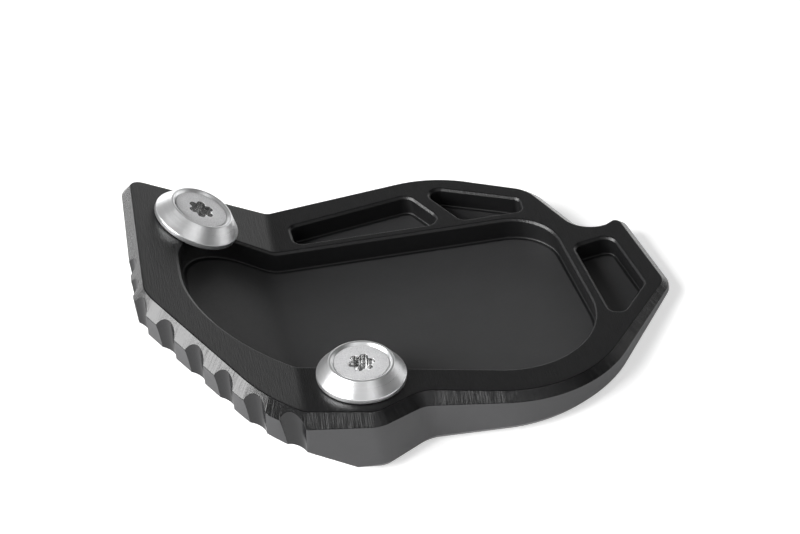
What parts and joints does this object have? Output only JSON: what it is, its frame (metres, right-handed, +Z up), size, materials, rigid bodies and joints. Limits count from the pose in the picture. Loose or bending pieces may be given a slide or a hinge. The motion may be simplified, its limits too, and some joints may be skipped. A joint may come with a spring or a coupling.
{
  "type": "kickstand foot enlarger",
  "caption": "Milled ramped plate that enlarges the foot of a motorcycle side stand, with a pocket for the foot and cone washers that clamp it.",
  "frame": {"origin": "on the sole, under the point where the side stand presses, in the middle of the flat half", "axes": "+X down the flat half towards the tip, -X up the ramp, +Y towards the back edge with the crown, +Z up from the ground"},
  "size_m": [0.1095, 0.0819, 0.033],
  "materials": {
    "black_anodised": "satin",
    "turned_aluminium": "turned",
    "screw_steel": "satin"
  },
  "bodies": {
    "root": {"base_plate": "black_anodised", "front_washer": "turned_aluminium", "rear_washer": "turned_aluminium", "front_screw": "screw_steel", "rear_screw": "screw_steel"}
  },
  "joints": []
}
